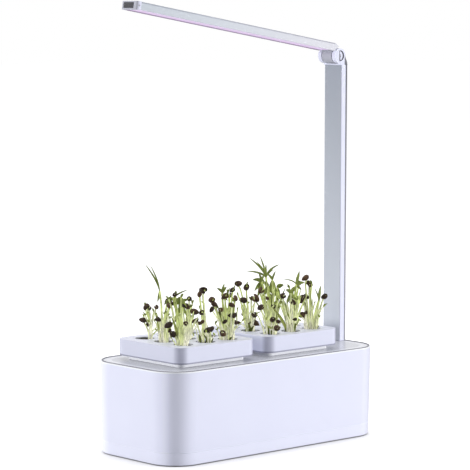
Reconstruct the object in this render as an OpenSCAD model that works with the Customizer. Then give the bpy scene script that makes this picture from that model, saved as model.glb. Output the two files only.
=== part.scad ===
// Countertop hydroponic garden: a water tank in a rounded casing, two lift-out
// planting trays with sprouts, and a grow lamp that folds down on a plug-in mast.
// Millimetres, +Z up, origin on the worktop under the middle of the casing.

/* [Casing] */
// Length of the casing along X, at its rim
base_l = 268; // [266:1:276]
// Width of the casing along Y, at its rim
base_w = 120; // [118:1:126]
// Height of the rim above the worktop
base_h = 85.5; // [82:0.5:92]
// Radius of the casing's upright corners
corner_r = 30; // [26:1:32]
// How much the wall leans in from the rim down to the worktop, on each side
draft = 1.5; // [1:0.1:3]
// Thickness of the casing wall
wall = 2.8; // [2.4:0.1:3]
// Height of the band round the foot, which belongs to the bottom cover
band_h = 12; // [8:1:14]
// Step in from the casing to that band
band_step = 0.4; // [0.2:0.1:2]

/* [Trays] */
// Length of a tray along X
tray_l = 94.5; // [92:0.5:96]
// Width of a tray along Y
tray_w = 91.5; // [90:0.5:94]
// Height of a tray's skirt
tray_h = 15.2; // [12:0.2:18]
// Radius of a tray's upright corners
tray_r = 11; // [8:1:14]
// Distance between the middles of the two trays
tray_pitch = 107.5; // [104:0.5:109]
// Distance between neighbouring plant holes
hole_pitch = 27; // [25:0.5:28]
// Radius of a plant hole
hole_r = 9; // [7:0.5:9.5]
// How far a basket hangs below the lid
basket_drop = 38; // [20:1:60]

/* [Mast and lamp] */
// Width of the mast and of the lamp along Y
arm_w = 23; // [22:0.5:26]
// Thickness of the mast
mast_t = 8.1; // [7.6:0.1:8.2]
// Thickness of the lamp
lamp_t = 7.5; // [7.2:0.1:9]
// Height of the hinge axis above the worktop
hinge_z = 362.5; // [340:0.5:400]
// Radius of the hinge barrel
barrel_r = 7.2; // [6.8:0.1:7.5]
// Distance from the hinge axis to the lamp's free end
lamp_reach = 258; // [240:1:258]
// Tilt of the lamp above level when it is opened to its stop
lamp_tilt = 9; // [0:0.5:15]
// Distance between neighbouring light-emitting diodes
led_pitch = 9.5; // [8:0.5:14]

/* [Sprouts] */
// Radius of a sprout's stem at its foot
stem_r = 1.1; // [0.8:0.1:1.4]
// Length of a seed hull
seed_l = 7.4; // [5:0.2:9]

/* [Hidden] */

$fn = 64;
eps = 0.01;                         // thickness of the slices a drafted shape is drawn between
snug = 0.05;                        // clearance of a piece that sits in another
loose = 0.3;                        // clearance between pieces that lift apart

foot_h = 1.1;                       // rubber feet below the bottom cover
seam = 0.2;                         // open seam between the band and the casing
lid_z = base_h - 3;                 // underside of the lid, on the casing's step
rim_t = 1.1;                        // thin rim of the casing round the lid
lid_flange = 1.3;                   // lid's lower flange, in from the casing's face
lid_edge = 2.5;                     // lid's visible edge, in from the casing's face
seal_h = 0.5;                       // how far the seal's bead stands above the rim
floor_z = 3.2;                      // top of the bottom cover's plate
band_t = 3.2;                       // wall of the band

boss_out = 19.9;                    // screw bosses, out from the corner's centre
boss_x = base_l / 2 - corner_r + boss_out * cos(45);
boss_y = base_w / 2 - corner_r + boss_out * sin(45);
boss_r = 4.6;
pilot_r = 1.3;
foot_x = 92;
foot_y = 38;
foot_r = 6;

tank_left = -base_l / 2 + 7.5;
tank_right = 108;
tank_y = base_w / 2 - 7.5;
tank_big_r = 46;                    // left corners, round the screw bosses
tank_small_r = 10;
tank_top = lid_z - 2;
tank_wall = 1.8;

tray_mid = -11.6;                   // middle of the pair of trays
tray_z = 89.8;                      // underside of a tray's skirt
tray_top = tray_z + tray_h;
tray_plate = 2.5;
neck_in = 7.5;                      // neck under the skirt, in from the skirt
neck_t = 2;
neck_r = 6;
sponge_top = tray_top - 0.6;
stem_foot = sponge_top + 0.1 + 1.5 * stem_r;
collar_t = 1.4;
basket_top = tray_z + 0.2;
collar_z = basket_top + 0.4;        // foot of the collars that hold the sponges
basket_t = 1.6;
basket_l = tray_l - 2 * neck_in - 2 * neck_t - 2 * snug;
basket_w = tray_w - 2 * neck_in - 2 * neck_t - 2 * snug;
basket_z = lid_z - basket_drop;
open_l = basket_l + 2 * loose;      // tray openings in the lid
open_w = basket_w + 2 * loose;

mast_x = base_l / 2 - 11;           // inner face of the mast
mast_foot = base_h + loose;
mast_top = hinge_z - 8.9;
trim_t = 1.9;
strip_t = 0.9;
strip_in = 0.45;                    // strip's edge, in from the mast's side
plug_w = 19;
plug_x = mast_x + 0.7;
plug_t = 5;
plug_z = 66.3;
spigot_t = 2.6;
spigot_w = 19.6;
spigot_x = mast_x + 2;

hinge_x = mast_x - 2;
pin_r = 2;
knuckle_w = 13;
washer_t = 0.6;
ear_in = knuckle_w / 2 + washer_t + 0.2;
cap_r = 5.1;
cap_t = 0.9;
cap_turn = 10;                      // the caps' straight edge leans by this much

lamp_low = 3.7;                     // underside of the lamp above the hinge axis
lamp_high = lamp_low + lamp_t;
lamp_mid = (lamp_low + lamp_high) / 2;
housing_t = 1.4;
housing_in = lamp_high - housing_t - 0.1;
cap_l = 4.4;                        // end cap
key_w = 13.4;
key_h = 4.6;
key_y = 1.1;
key_light_y = -7.6;
board_z = housing_in - 1.2;
led_first = 26;
diffuser_x = 12;
led_count = floor((lamp_reach - cap_l - 12 - led_first) / led_pitch) + 1;

lat = [cos(-42.5), sin(-42.5)];     // direction along which sprouts are spread
depth = [sin(42.5), cos(42.5)];     // and the direction across it

// One sprout: column and row of its hole, foot and tip along lat, tip height
// above the tray, and its kind: 0 a seed hull on a stem, 1 a large hull,
// 2 a bare shoot, 3 a pair of broad leaves, 4 a tuft of narrow blades.
SPROUTS_LEFT = [
    [0, 2, 5, 2, 30, 0], [0, 2, 5, 4, 27, 0], [0, 2, 4, -2, 17, 0], [0, 2, 5, 4, 12, 0],
    [0, 2, 5, 11, 29, 0],
    [0, 1, -2, -5, 20, 0], [0, 1, -1, 3, 36, 0], [0, 1, 0, 5, 33, 0], [0, 1, 3, 4, 15, 1],
    [0, 1, -1, -4, 46, 4], [0, 1, 3, 10, 20, 0],
    [0, 0, -2, -2, 38, 3], [0, 0, -5, -9, 9, 1], [0, 0, 1, 2, 20, 0], [0, 0, -4, -9, 42, 4],
    [0, 0, -3, -8, 45, 0], [0, 0, -1, -2, 43, 0],
    [1, 0, 2, 2, 10, 1], [1, 0, 4, 5, 12, 0], [1, 0, -2, -4, 26, 0], [1, 0, -4, -10, 18, 0],
    [2, 0, -4, -4, 5, 1], [2, 0, -5, -15, 36, 1], [2, 0, -5, -12, 32, 0], [2, 0, -4, -6, 27, 0],
    [2, 0, -4, -7, 20, 0], [2, 0, 2, 3, 22, 0], [2, 0, 4, 6, 22, 0], [2, 0, -3, -5, 42, 3],
    [2, 0, -1, -3, 39, 0], [2, 0, 0, 2, 40, 0], [2, 0, 2, 4, 45, 0], [2, 0, 3, 4, 32, 0],
    [1, 1, 1, 3, 36, 0], [1, 1, 0, 1, 29, 0], [1, 1, 3, 8, 25, 1],
    [2, 1, -4, -8, 38, 0], [2, 1, -3, -5, 43, 1],
    [1, 2, 0, 2, 24, 2], [2, 2, 0, 3, 26, 2]];
SPROUTS_RIGHT = [
    [0, 1, -3, -11, 44, 0], [0, 1, -2, -4, 40, 0], [0, 1, -2, -7, 29, 0], [0, 1, 1, 5, 30, 1],
    [0, 1, 2, 4, 15, 0], [0, 1, 3, 5, 7, 0], [0, 1, -3, -6, 15, 0],
    [0, 2, 2, 4, 28, 0], [0, 2, 0, -3, 33, 2],
    [0, 0, -3, -9, 24, 0], [0, 0, 1, 2, 13, 0], [0, 0, -3, -5, 10, 2], [0, 0, 3, 5, 12, 2],
    [0, 0, 5, 6, 6, 0],
    [1, 1, -1, -5, 48, 4], [1, 1, -4, -9, 44, 3], [1, 1, 2, 1, 46, 4], [1, 1, 0, -3, 40, 3],
    [1, 1, -4, -10, 36, 0], [1, 1, 1, 1, 20, 0], [1, 1, 4, 6, 38, 3],
    [1, 0, 0, 0, 36, 3], [1, 0, -3, -8, 33, 0], [1, 0, 1, 2, 27, 0], [1, 0, 2, 5, 44, 3],
    [1, 0, 4, 6, 5, 2],
    [2, 0, -4, -10, 13, 0], [2, 0, -4, -9, 28, 1], [2, 0, -3, -5, 29, 0], [2, 0, -3, -6, 48, 0],
    [2, 0, 1, -1, 41, 0], [2, 0, 5, 12, 30, 0], [2, 0, 4, 7, 27, 3],
    [2, 1, 2, 7, 40, 0], [2, 2, 0, -3, 30, 2]];

// ---- Shared shapes -------------------------------------------------------

// Rounded rectangle on the XY plane, made of true arcs
module outline(l, w, r) {
    square([l - 2 * r, w], center = true);
    square([l, w - 2 * r], center = true);
    for (sx = [-1, 1], sy = [-1, 1])
        translate([sx * (l / 2 - r), sy * (w / 2 - r)]) circle(r);
}

// The casing's outline, a given distance in from its face at the rim
module casing_outline(inset) {
    outline(base_l - 2 * inset, base_w - 2 * inset, corner_r - inset);
}

// How far the drafted wall has leaned in at height z
function lean(z) = draft * (base_h - z) / base_h;

// Solid between two heights with the casing's draft, a given distance in
module drafted(z0, z1, inset) {
    hull() {
        translate([0, 0, z0]) linear_extrude(eps) casing_outline(inset + lean(z0));
        translate([0, 0, z1 - eps]) linear_extrude(eps) casing_outline(inset + lean(z1));
    }
}

// Prism between two heights
module slab(z0, z1) {
    translate([0, 0, z0]) linear_extrude(z1 - z0) children();
}

// Prism along X, its section drawn in (Y, Z)
module along_x(x0, x1) {
    translate([x0, 0, 0]) rotate([90, 0, 90]) linear_extrude(x1 - x0) children();
}

// Prism along Y, its section drawn in (X, Z)
module along_y(y0, y1) {
    translate([0, y1, 0]) rotate([90, 0, 0]) linear_extrude(y1 - y0) children();
}

// Cylinder along X or along Y
module rod_x(x0, x1, r) {
    translate([x0, 0, 0]) rotate([0, 90, 0]) cylinder(h = x1 - x0, r = r);
}
module rod_y(y0, y1, r) {
    translate([0, y1, 0]) rotate([90, 0, 0]) cylinder(h = y1 - y0, r = r);
}

// The same thing at all four screw bosses, or at all four feet
module at_bosses() {
    for (sx = [-1, 1], sy = [-1, 1]) translate([sx * boss_x, sy * boss_y, 0]) children();
}
module at_feet() {
    for (sx = [-1, 1], sy = [-1, 1]) translate([sx * foot_x, sy * foot_y, 0]) children();
}

// Lamp coordinates: X out from the hinge axis to the free end, Z to the lamp's top
module at_lamp() {
    translate([hinge_x, 0, hinge_z]) rotate([0, lamp_tilt, 0]) mirror([1, 0, 0]) children();
}

// Tray coordinates: side is -1 for the left tray and 1 for the right one
module at_tray(side) {
    translate([tray_mid + side * tray_pitch / 2, 0, 0]) children();
}
module at_holes() {
    for (i = [-1:1], j = [-1:1]) translate([i * hole_pitch, j * hole_pitch, 0]) children();
}

// ---- Base ----------------------------------------------------------------

jack_y = 18;
jack_z = 20;
jack_r = 3.95;
jack_face = base_l / 2 - lean(jack_z) - 0.3;

module outer_casing() {
    color("ghostwhite") {
        difference() {
            drafted(band_h + seam, base_h, 0);
            drafted(band_h - 1, lid_z, wall);
            slab(lid_z - 0.5, base_h + 1) casing_outline(rim_t);
            translate([0, jack_y, jack_z]) {
                rod_x(jack_face - 10, jack_face + 5, jack_r + snug);
                rod_x(jack_face, jack_face + 5, 6);
            }
        }
        // the step that carries the lid
        difference() {
            slab(lid_z - 4, lid_z) casing_outline(rim_t + 0.2);
            slab(lid_z - 5, lid_z + 1) casing_outline(wall + 0.4);
        }
        difference() {
            at_bosses() {
                slab(floor_z + 0.2, 26) circle(boss_r);
                slab(band_h + 4, 26) circle(boss_r + 2);
            }
            at_bosses() slab(0, 20) circle(pilot_r);
        }
    }
}

module bottom_cover() {
    color("lavender") {
        difference() {
            drafted(foot_h, band_h, band_step);
            drafted(floor_z, band_h + 1, band_step + band_t);
            at_bosses() {
                slab(0, floor_z + 1) circle(pilot_r + 0.3);
                slab(0, foot_h + 1.2) circle(3.2);
            }
            at_feet() slab(0, foot_h + 1) circle(foot_r + snug);
        }
        // lip that locates the casing
        difference() {
            slab(band_h - 3, band_h + 1.5) casing_outline(lean(band_h) + wall + 0.3);
            slab(band_h - 4, band_h + 4) casing_outline(lean(band_h) + wall + 1.6);
            at_bosses() slab(0, 30) circle(boss_r + 2);
        }
        // posts under the power board
        for (sy = [-1, 1]) translate([119, sy * 11, 0]) slab(floor_z, 30) circle(2.2);
    }
}

module rubber_feet() {
    color("dimgray") at_feet() slab(0, foot_h + 1) circle(foot_r);
}

module bottom_screws() {
    color("silver") at_bosses() {
        difference() {
            slab(foot_h + 0.1, foot_h + 1.2) circle(3);
            slab(0, foot_h + 0.7) {
                square([3.6, 0.8], center = true);
                square([0.8, 3.6], center = true);
            }
        }
        slab(foot_h + 1.2, 18) circle(pilot_r - snug);
    }
}

module tank_outline(inset) {
    big = tank_big_r - inset;
    small = tank_small_r - inset;
    left = tank_left + tank_big_r;
    right = tank_right - tank_small_r;
    for (s = [-1, 1]) {
        translate([left, s * (tank_y - tank_big_r)]) circle(big);
        translate([right, s * (tank_y - tank_small_r)]) circle(small);
    }
    half = tank_y - inset;
    translate([left, -half]) square([right - left, 2 * half]);
    translate([tank_left + inset, tank_big_r - tank_y])
        square([tank_big_r, 2 * (tank_y - tank_big_r)]);
    translate([left, tank_small_r - tank_y])
        square([tank_right - inset - left, 2 * (tank_y - tank_small_r)]);
}

module water_tank() {
    color("whitesmoke") difference() {
        union() {
            slab(floor_z, tank_top) tank_outline(0);
            slab(tank_top - 1.6, tank_top) tank_outline(-1.2);
        }
        slab(floor_z + 2, tank_top + 1) tank_outline(tank_wall);
    }
}

module lid() {
    slot_l = plug_t + 2 * loose;
    color("gainsboro") difference() {
        union() {
            slab(lid_z, base_h - 1.5) casing_outline(lid_flange);
            slab(base_h - 1.5, base_h) casing_outline(lid_edge);
            for (side = [-1, 1]) at_tray(side)
                slab(lid_z - 3, lid_z) outline(open_l + 3.2, open_w + 3.2, neck_r);
        }
        for (side = [-1, 1]) at_tray(side)
            slab(lid_z - 4, base_h + 1) outline(open_l, open_w, neck_r - 1.6);
        translate([plug_x + plug_t / 2, 0, 0])
            slab(lid_z - 1, base_h + 1) square([slot_l, plug_w + 2 * loose], center = true);
        for (sy = [-1, 1]) translate([126, sy * 17, 0]) slab(lid_z - 1, lid_z + 2) circle(pilot_r);
    }
}

module lid_seal() {
    color("darkgray") difference() {
        slab(base_h - 1.5, base_h + seal_h) casing_outline(rim_t + snug);
        slab(base_h - 2, base_h + 1) casing_outline(lid_edge - snug);
    }
}

module mast_socket() {
    color("silver") difference() {
        union() {
            translate([124.9, 0, 0]) slab(60, lid_z) outline(10.6, 27, 1.5);
            translate([126, 0, 0]) slab(lid_z - 3, lid_z) outline(8, 41, 2);
        }
        translate([plug_x + plug_t / 2, 0, 0])
            slab(64, lid_z + 1) square([plug_t + 2 * loose, plug_w + 2 * loose], center = true);
        for (sy = [-1, 1]) {
            translate([plug_x + plug_t / 2, sy * 4, 0]) slab(59, 65) circle(0.8 + snug);
            translate([126, sy * 17, 0]) slab(lid_z - 4, lid_z + 1) circle(pilot_r + 0.2);
        }
    }
}

module socket_screws() {
    color("silver") for (sy = [-1, 1]) translate([126, sy * 17, 0]) {
        slab(lid_z - 4.4, lid_z - 3) circle(2.4);
        slab(lid_z - 3, lid_z + 1.8) circle(pilot_r - snug);
    }
}

module socket_contacts() {
    color("gold") for (sy = [-1, 1]) translate([plug_x + plug_t / 2, sy * 4, 0])
        slab(60.5, 66) circle(0.8);
}

module inlet_jack() {
    color("black") translate([0, jack_y, jack_z]) difference() {
        union() {
            rod_x(jack_face - 15, jack_face, jack_r);
            rod_x(jack_face, jack_face + 1.2, 5.6);
        }
        rod_x(jack_face + 1.2 - 12, jack_face + 2, 2.8);
        rod_x(jack_face - 16, jack_face - 10, 1 + snug);
    }
}

module inlet_nut() {
    color("dimgray") translate([0, jack_y, jack_z]) difference() {
        rod_x(jack_face - 5.2, jack_face - 3, 6, $fn = 6);
        rod_x(jack_face - 6, jack_face, jack_r + snug);
    }
}

module inlet_pin() {
    color("gold") translate([0, jack_y, jack_z]) rod_x(jack_face - 14.5, jack_face - 7.8, 1);
}

module power_board() {
    color("seagreen") {
        translate([119.3, 0, 0]) slab(30.2, 31.8) outline(16, 36, 1.5);
        translate([119, -8, 0]) slab(31.8, 35) outline(9, 9, 0.6);
        translate([119, 6, 0]) slab(31.8, 37) circle(4);
    }
}

// ---- Mast ----------------------------------------------------------------

module mast_tube() {
    inner = mast_t - trim_t;
    color("ghostwhite") difference() {
        translate([mast_x + inner / 2, 0, 0]) slab(mast_foot, mast_top) outline(inner, arm_w, 0.8);
        translate([mast_x - 1, 0, 0]) slab(mast_foot - 1, mast_top + 1)
            square([2 * (strip_t + 1), arm_w - 2 * strip_in + 2 * snug], center = true);
        translate([spigot_x - snug, -spigot_w / 2 - snug, 0])
            slab(mast_foot - 1, mast_top + 1) square([spigot_t + 2 * snug, spigot_w + 2 * snug]);
        mast_screw_holes();
    }
}

module mast_strip() {
    color("darkgray") translate([mast_x, -arm_w / 2 + strip_in, 0])
        slab(mast_foot + 0.2, mast_top) square([strip_t - snug, arm_w - 2 * strip_in]);
}

module mast_rear_trim() {
    color("gray") difference() {
        translate([mast_x + mast_t - trim_t / 2, 0, 0])
            slab(mast_foot, mast_top) outline(trim_t, arm_w, 0.6);
        mast_screw_holes();
    }
}

module mast_plug() {
    color("silver") difference() {
        union() {
            translate([plug_x, -plug_w / 2, 0]) slab(plug_z, mast_foot) square([plug_t, plug_w]);
            translate([spigot_x, -spigot_w / 2, 0])
                slab(mast_foot, mast_foot + 24) square([spigot_t, spigot_w]);
        }
        for (sy = [-1, 1]) translate([plug_x + plug_t / 2, sy * 4, 0])
            slab(plug_z - 1, plug_z + 0.6) circle(1.2);
        mast_screw_holes();
    }
}

// The mast's screws: two at its foot, two at its head, driven in from the rear
module at_mast_screws() {
    for (z = [mast_foot + 14, mast_top - 8], sy = [-1, 1]) translate([0, sy * 5, z]) children();
}
module mast_screw_holes() {
    at_mast_screws() rod_x(spigot_x - 0.4, mast_x + mast_t + 1, 1 + snug);
}

module mast_screws() {
    rear = mast_x + mast_t;
    color("silver") at_mast_screws() {
        rod_x(spigot_x - 0.3, rear, 1);
        rod_x(rear, rear + 0.8, 1.9);
    }
}

module mast_contacts() {
    color("gold") for (sy = [-1, 1]) translate([plug_x + plug_t / 2, sy * 4, 0])
        slab(plug_z + 0.05, plug_z + 0.6) circle(1.15);
}

// Side view of the hinge ears: the barrel, blended into the mast's rear face
module ear_profile() {
    rear = mast_x + mast_t;
    translate([hinge_x, hinge_z]) circle(barrel_r);
    polygon([
        [mast_x - 1.2, mast_top], [rear, mast_top], [rear - 0.35, mast_top + 2.2],
        [rear - 1.1, mast_top + 4.2], [rear - 2.4, mast_top + 6.4],
        [hinge_x + barrel_r, hinge_z], [hinge_x, hinge_z]]);
}

module mast_head() {
    color("ghostwhite") difference() {
        union() {
            along_y(-arm_w / 2, arm_w / 2) ear_profile();
            translate([spigot_x, -spigot_w / 2, 0])
                slab(mast_top - 16, mast_top) square([spigot_t, spigot_w]);
        }
        translate([hinge_x, 0, hinge_z]) {
            rod_y(-ear_in, ear_in, barrel_r + 0.4);
            rod_y(-arm_w, arm_w, pin_r + snug);
            for (s = [-1, 1]) translate([0, s * (arm_w / 2 - cap_t / 2), 0])
                rod_y(-cap_t / 2 - eps, cap_t / 2 + eps, cap_r + snug);
            // opening for the lamp's neck over its whole swing
            translate([-20, -ear_in, -4]) cube([20, 2 * ear_in, 20]);
        }
        mast_screw_holes();
    }
}

module hinge_pin() {
    color("silver") translate([hinge_x, 0, hinge_z])
        rod_y(-arm_w / 2 + cap_t + 0.1, arm_w / 2 - cap_t - 0.1, pin_r);
}

// Half-round covers over the ends of the pin
module hinge_caps() {
    color("whitesmoke") for (s = [-1, 1])
        translate([hinge_x, s * (arm_w / 2 - cap_t / 2), hinge_z]) rotate([0, -cap_turn, 0])
            intersection() {
                rod_y(-cap_t / 2, cap_t / 2, cap_r);
                translate([-2 * cap_r, -cap_t, -cap_r - 1]) cube([2 * cap_r, 2 * cap_t, 2 * cap_r + 2]);
            }
}

module hinge_washers() {
    color("dimgray") for (s = [-1, 1])
        translate([hinge_x, s * (knuckle_w / 2 + 0.1 + washer_t / 2), hinge_z]) difference() {
            rod_y(-washer_t / 2, washer_t / 2, 5.5);
            rod_y(-washer_t, washer_t, pin_r + snug);
        }
}

// ---- Lamp ----------------------------------------------------------------

knuckle_screw_x = 19;

module lamp_knuckle() {
    color("silver") at_lamp() difference() {
        union() {
            rod_y(-knuckle_w / 2, knuckle_w / 2, barrel_r);
            along_y(-knuckle_w / 2, knuckle_w / 2)
                polygon([[0, 0], [9, lamp_low + 0.2], [13, lamp_low + 0.2], [13, housing_in],
                    [5.5, housing_in], [0, barrel_r]]);
            along_x(9.5, 24) translate([0, (housing_in + lamp_low + 2.2) / 2])
                square([arm_w - 2 * housing_t - 0.2, housing_in - lamp_low - 2.2], center = true);
        }
        rod_y(-knuckle_w, knuckle_w, pin_r + snug);
        for (sy = [-1, 1]) translate([knuckle_screw_x, sy * 5, 0]) {
            slab(lamp_low, lamp_high) circle(1 + snug);
            slab(lamp_low, lamp_low + 3.2) circle(1.9 + snug);
        }
        // room for the end of the diffuser
        along_x(diffuser_x - 0.1, 30) translate([0, lamp_low]) square([arm_w, 3.8], center = true);
    }
}

module knuckle_screws() {
    color("silver") at_lamp() for (sy = [-1, 1]) translate([knuckle_screw_x, sy * 5, 0]) {
        slab(lamp_low + 3.2, housing_in + 0.8) circle(1);
        slab(lamp_low + 2.1, lamp_low + 3.2) circle(1.9);
    }
}

module lamp_housing() {
    color("lightgray") at_lamp() difference() {
        along_x(0, lamp_reach - cap_l) translate([0, lamp_mid])
            lamp_section(arm_w, lamp_t, 1.2);
        // room for the board, and for the knuckle's neck at the hinge end
        along_x(9, lamp_reach) translate([0, lamp_mid - housing_t])
            square([arm_w - 2 * housing_t, lamp_t], center = true);
        along_x(-1, 10) translate([0, lamp_mid - housing_t])
            square([knuckle_w + 0.4, lamp_t], center = true);
        rod_y(-arm_w, arm_w, barrel_r + 1.5);
        // sloped end over the hinge
        along_y(-arm_w, arm_w) polygon([[-9, 0], [2.4, 0], [2.4, lamp_high - 2.9],
            [8.3, lamp_high], [8.3, lamp_high + 9], [-9, lamp_high + 9]]);
        for (sy = [-1, 1]) translate([knuckle_screw_x, sy * 5, 0])
            slab(housing_in - 1, housing_in + 0.9) circle(1 + snug);
    }
}

// Rounded section of the lamp, square along its underside
module lamp_section(w, h, r) {
    translate([0, -r / 2]) square([w, h - r], center = true);
    translate([0, (h - r) / 2]) square([w - 2 * r, r], center = true);
    for (s = [-1, 1]) translate([s * (w / 2 - r), h / 2 - r]) circle(r);
}

module led_board() {
    color("white") at_lamp() along_x(led_first - 1, lamp_reach - cap_l - 12)
        translate([0, board_z + 0.6]) square([17, 1.2], center = true);
}

// Kind of diode k along the lamp: 0 red, 1 blue, 2 white
function led_kind(k) = k % 6 == 3 ? 2 : (k % 3 == 2 ? 1 : 0);

module leds(kind) {
    at_lamp() for (k = [0:led_count - 1]) if (led_kind(k) == kind)
        translate([led_first + 3 + k * led_pitch, 0, board_z - 1]) {
            translate([-1.5, -1.5, 0.4]) cube([3, 3, 0.6]);
            cylinder(h = 0.4, r1 = 0.8, r2 = 1.2);
        }
}
module red_leds() { color("red") leds(0); }
module blue_leds() { color("blue") leds(1); }
module white_leds() { color("white") leds(2); }

// Milky cover let into the lamp's underside
module diffuser() {
    inside = arm_w - 2 * housing_t - 0.2;
    color("plum") at_lamp() {
        along_x(diffuser_x, lamp_reach - cap_l - 0.2) translate([0, lamp_low + 0.9])
            square([inside, 1.6], center = true);
        // lips that clip inside the housing, beside the board
        for (s = [-1, 1]) along_x(led_first, lamp_reach - cap_l - 14)
            translate([s * (inside / 2 - 0.55), lamp_low + 2.4]) square([1.1, 1.8], center = true);
    }
}

module end_cap() {
    face = lamp_reach;
    tongue_h = housing_in - lamp_low - 2;
    color("ghostwhite") at_lamp() difference() {
        union() {
            translate([face - cap_l / 2 - 2, 0, 0]) intersection() {
                slab(lamp_low, lamp_high) outline(cap_l + 4, arm_w, 2.6);
                translate([-cap_l / 2 + 2, -arm_w, 0]) cube([cap_l, 2 * arm_w, 2 * lamp_high]);
            }
            along_x(face - cap_l - 7, face - cap_l + eps)
                translate([0, housing_in - tongue_h / 2 - 0.05])
                    square([arm_w - 2 * housing_t - 0.2, tongue_h], center = true);
        }
        along_x(face - cap_l - 8, face + 1) translate([key_y, lamp_mid])
            square([key_w + 0.6, key_h + 0.6], center = true);
        for (s = [-1, 1]) translate([face - cap_l / 2, s * arm_w / 2, lamp_mid])
            rod_y(-2.4, 2.4, 0.8 + snug);
        translate([0, key_light_y, lamp_mid]) rod_x(face - 2, face + 1, 0.8 + snug);
    }
}

module end_cap_screws() {
    color("gray") at_lamp() for (s = [-1, 1])
        translate([lamp_reach - cap_l / 2, s * (arm_w / 2 - 1.2), lamp_mid]) rod_y(-1.1, 1.1, 0.8);
}

module key_light() {
    color("white") at_lamp() translate([0, key_light_y, lamp_mid])
        rod_x(lamp_reach - 1.9, lamp_reach - 0.1, 0.8);
}

module key_switch() {
    color("dimgray") at_lamp() {
        along_x(lamp_reach - 16, lamp_reach - 9) translate([key_y, lamp_mid])
            square([6, 4], center = true);
        translate([0, key_y, lamp_mid]) rod_x(lamp_reach - 9, lamp_reach - 8.2, 1.2);
    }
}

module lamp_key() {
    color("black") at_lamp() {
        along_x(lamp_reach - 3, lamp_reach + 0.2) translate([key_y, lamp_mid])
            outline(key_w, key_h, 0.6);
        along_x(lamp_reach - 7.1, lamp_reach - 3) translate([key_y, lamp_mid])
            square([8, 3], center = true);
    }
}

// ---- Trays ---------------------------------------------------------------

module tray(side) {
    neck_l = tray_l - 2 * neck_in;
    neck_w = tray_w - 2 * neck_in;
    under = tray_top - tray_plate;
    color("ghostwhite") at_tray(side) difference() {
        union() {
            difference() {
                slab(tray_z, tray_top) outline(tray_l, tray_w, tray_r);
                slab(tray_z - 1, under) outline(tray_l - 4.4, tray_w - 4.4, tray_r - 2.2);
            }
            difference() {
                slab(base_h + loose, under) outline(neck_l, neck_w, neck_r);
                slab(base_h, under) outline(neck_l - 2 * neck_t, neck_w - 2 * neck_t, neck_r - neck_t);
            }
            at_holes() slab(collar_z, under) circle(hole_r + collar_t);
        }
        at_holes() {
            slab(collar_z + 1.4, tray_top + 1) circle(hole_r);
            slab(collar_z - 1, tray_top) circle(hole_r - 1.4);
        }
    }
}

module basket(side) {
    inner_l = basket_l - 2 * basket_t;
    inner_w = basket_w - 2 * basket_t;
    slot = 14;
    step = 21;
    color("whitesmoke") at_tray(side) difference() {
        slab(basket_z, basket_top) outline(basket_l, basket_w, neck_r - neck_t);
        slab(basket_z + basket_t, basket_top + 1) outline(inner_l, inner_w, 2);
        for (k = [-1:1]) translate([k * step, 0, 0]) {
            slab(basket_z + 8, lid_z - 8) square([slot, basket_w + 2], center = true);
            slab(basket_z - 1, basket_z + 3) square([slot, inner_w - 12], center = true);
        }
        for (k = [-1:1]) translate([0, k * step, 0])
            slab(basket_z + 8, lid_z - 8) square([basket_l + 2, slot], center = true);
    }
}

module sponges(side) {
    color("saddlebrown") at_tray(side) at_holes()
        slab(collar_z + 1.5, sponge_top) circle(hole_r - loose);
}

// ---- Sprouts -------------------------------------------------------------

// Point of a sprout's stem, t running from 0 at its foot to 1 at its tip
function stem_point(s, k, t) =
    let (
        foot_d = 3 * sin(77 * k), tip_d = foot_d + 4 * sin(131 * k + 40),
        rise = stem_foot + t * (tray_top + s[4] - stem_foot),
        side_at = s[2] + (s[3] - s[2]) * pow(t, 1.6),
        back_at = foot_d + (tip_d - foot_d) * pow(t, 1.6))
    [(s[0] - 1) * hole_pitch + side_at * lat.x + back_at * depth.x,
     (s[1] - 1) * hole_pitch + side_at * lat.y + back_at * depth.y, rise];

module bead(p, r) { translate(p) sphere(r, $fn = 5); }

module stem(s, k, r) {
    steps = 3;
    for (n = [0:steps - 1]) hull() {
        bead(stem_point(s, k, n / steps), r * (1 - 0.3 * n / steps));
        bead(stem_point(s, k, (n + 1) / steps), r * (1 - 0.3 * (n + 1) / steps));
    }
}

// Seed hull lying over the tip of a stem
module seed(p, k, size) {
    translate(p) rotate([0, 35 * sin(97 * k), 61 * k]) scale([1, 0.72, 0.66])
        sphere(size / 2, $fn = 8);
}

// Flat leaf from the tip, leaning along lat by out over its height up
module leaf(p, out, up, width) {
    tip = p + [out * lat.x, out * lat.y, up];
    mid = (p + tip) / 2 + [0, 0, up * 0.08];
    hull() { bead(p, 0.5); bead(mid, width); }
    hull() { bead(mid, width); bead(tip, 0.3); }
}

module sprout(s, k) {
    kind = s[5];
    tip = stem_point(s, k, 1);
    stem(s, k, kind >= 3 ? 1.5 * stem_r : stem_r);
    if (kind == 0) seed(tip, k, seed_l);
    if (kind == 1) seed(tip, k, 1.35 * seed_l);
    if (kind == 3) {
        leaf(tip, -4, 10, 2);
        leaf(tip, 5, 12, 2);
    }
    if (kind == 4) {
        leaf(tip, -11, 22, 0.9);
        leaf(tip, -5, 24, 0.9);
        leaf(tip, 10, 16, 0.9);
    }
}

module sprouts(side, list) {
    color("yellowgreen") at_tray(side)
        for (k = [0:len(list) - 1]) sprout(list[k], k);
}

module tray_left() { tray(-1); }
module basket_left() { basket(-1); }
module sponges_left() { sponges(-1); }
module sprouts_left() { sprouts(-1, SPROUTS_LEFT); }
module tray_right() { tray(1); }
module basket_right() { basket(1); }
module sponges_right() { sponges(1); }
module sprouts_right() { sprouts(1, SPROUTS_RIGHT); }

// ---- Output --------------------------------------------------------------

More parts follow.
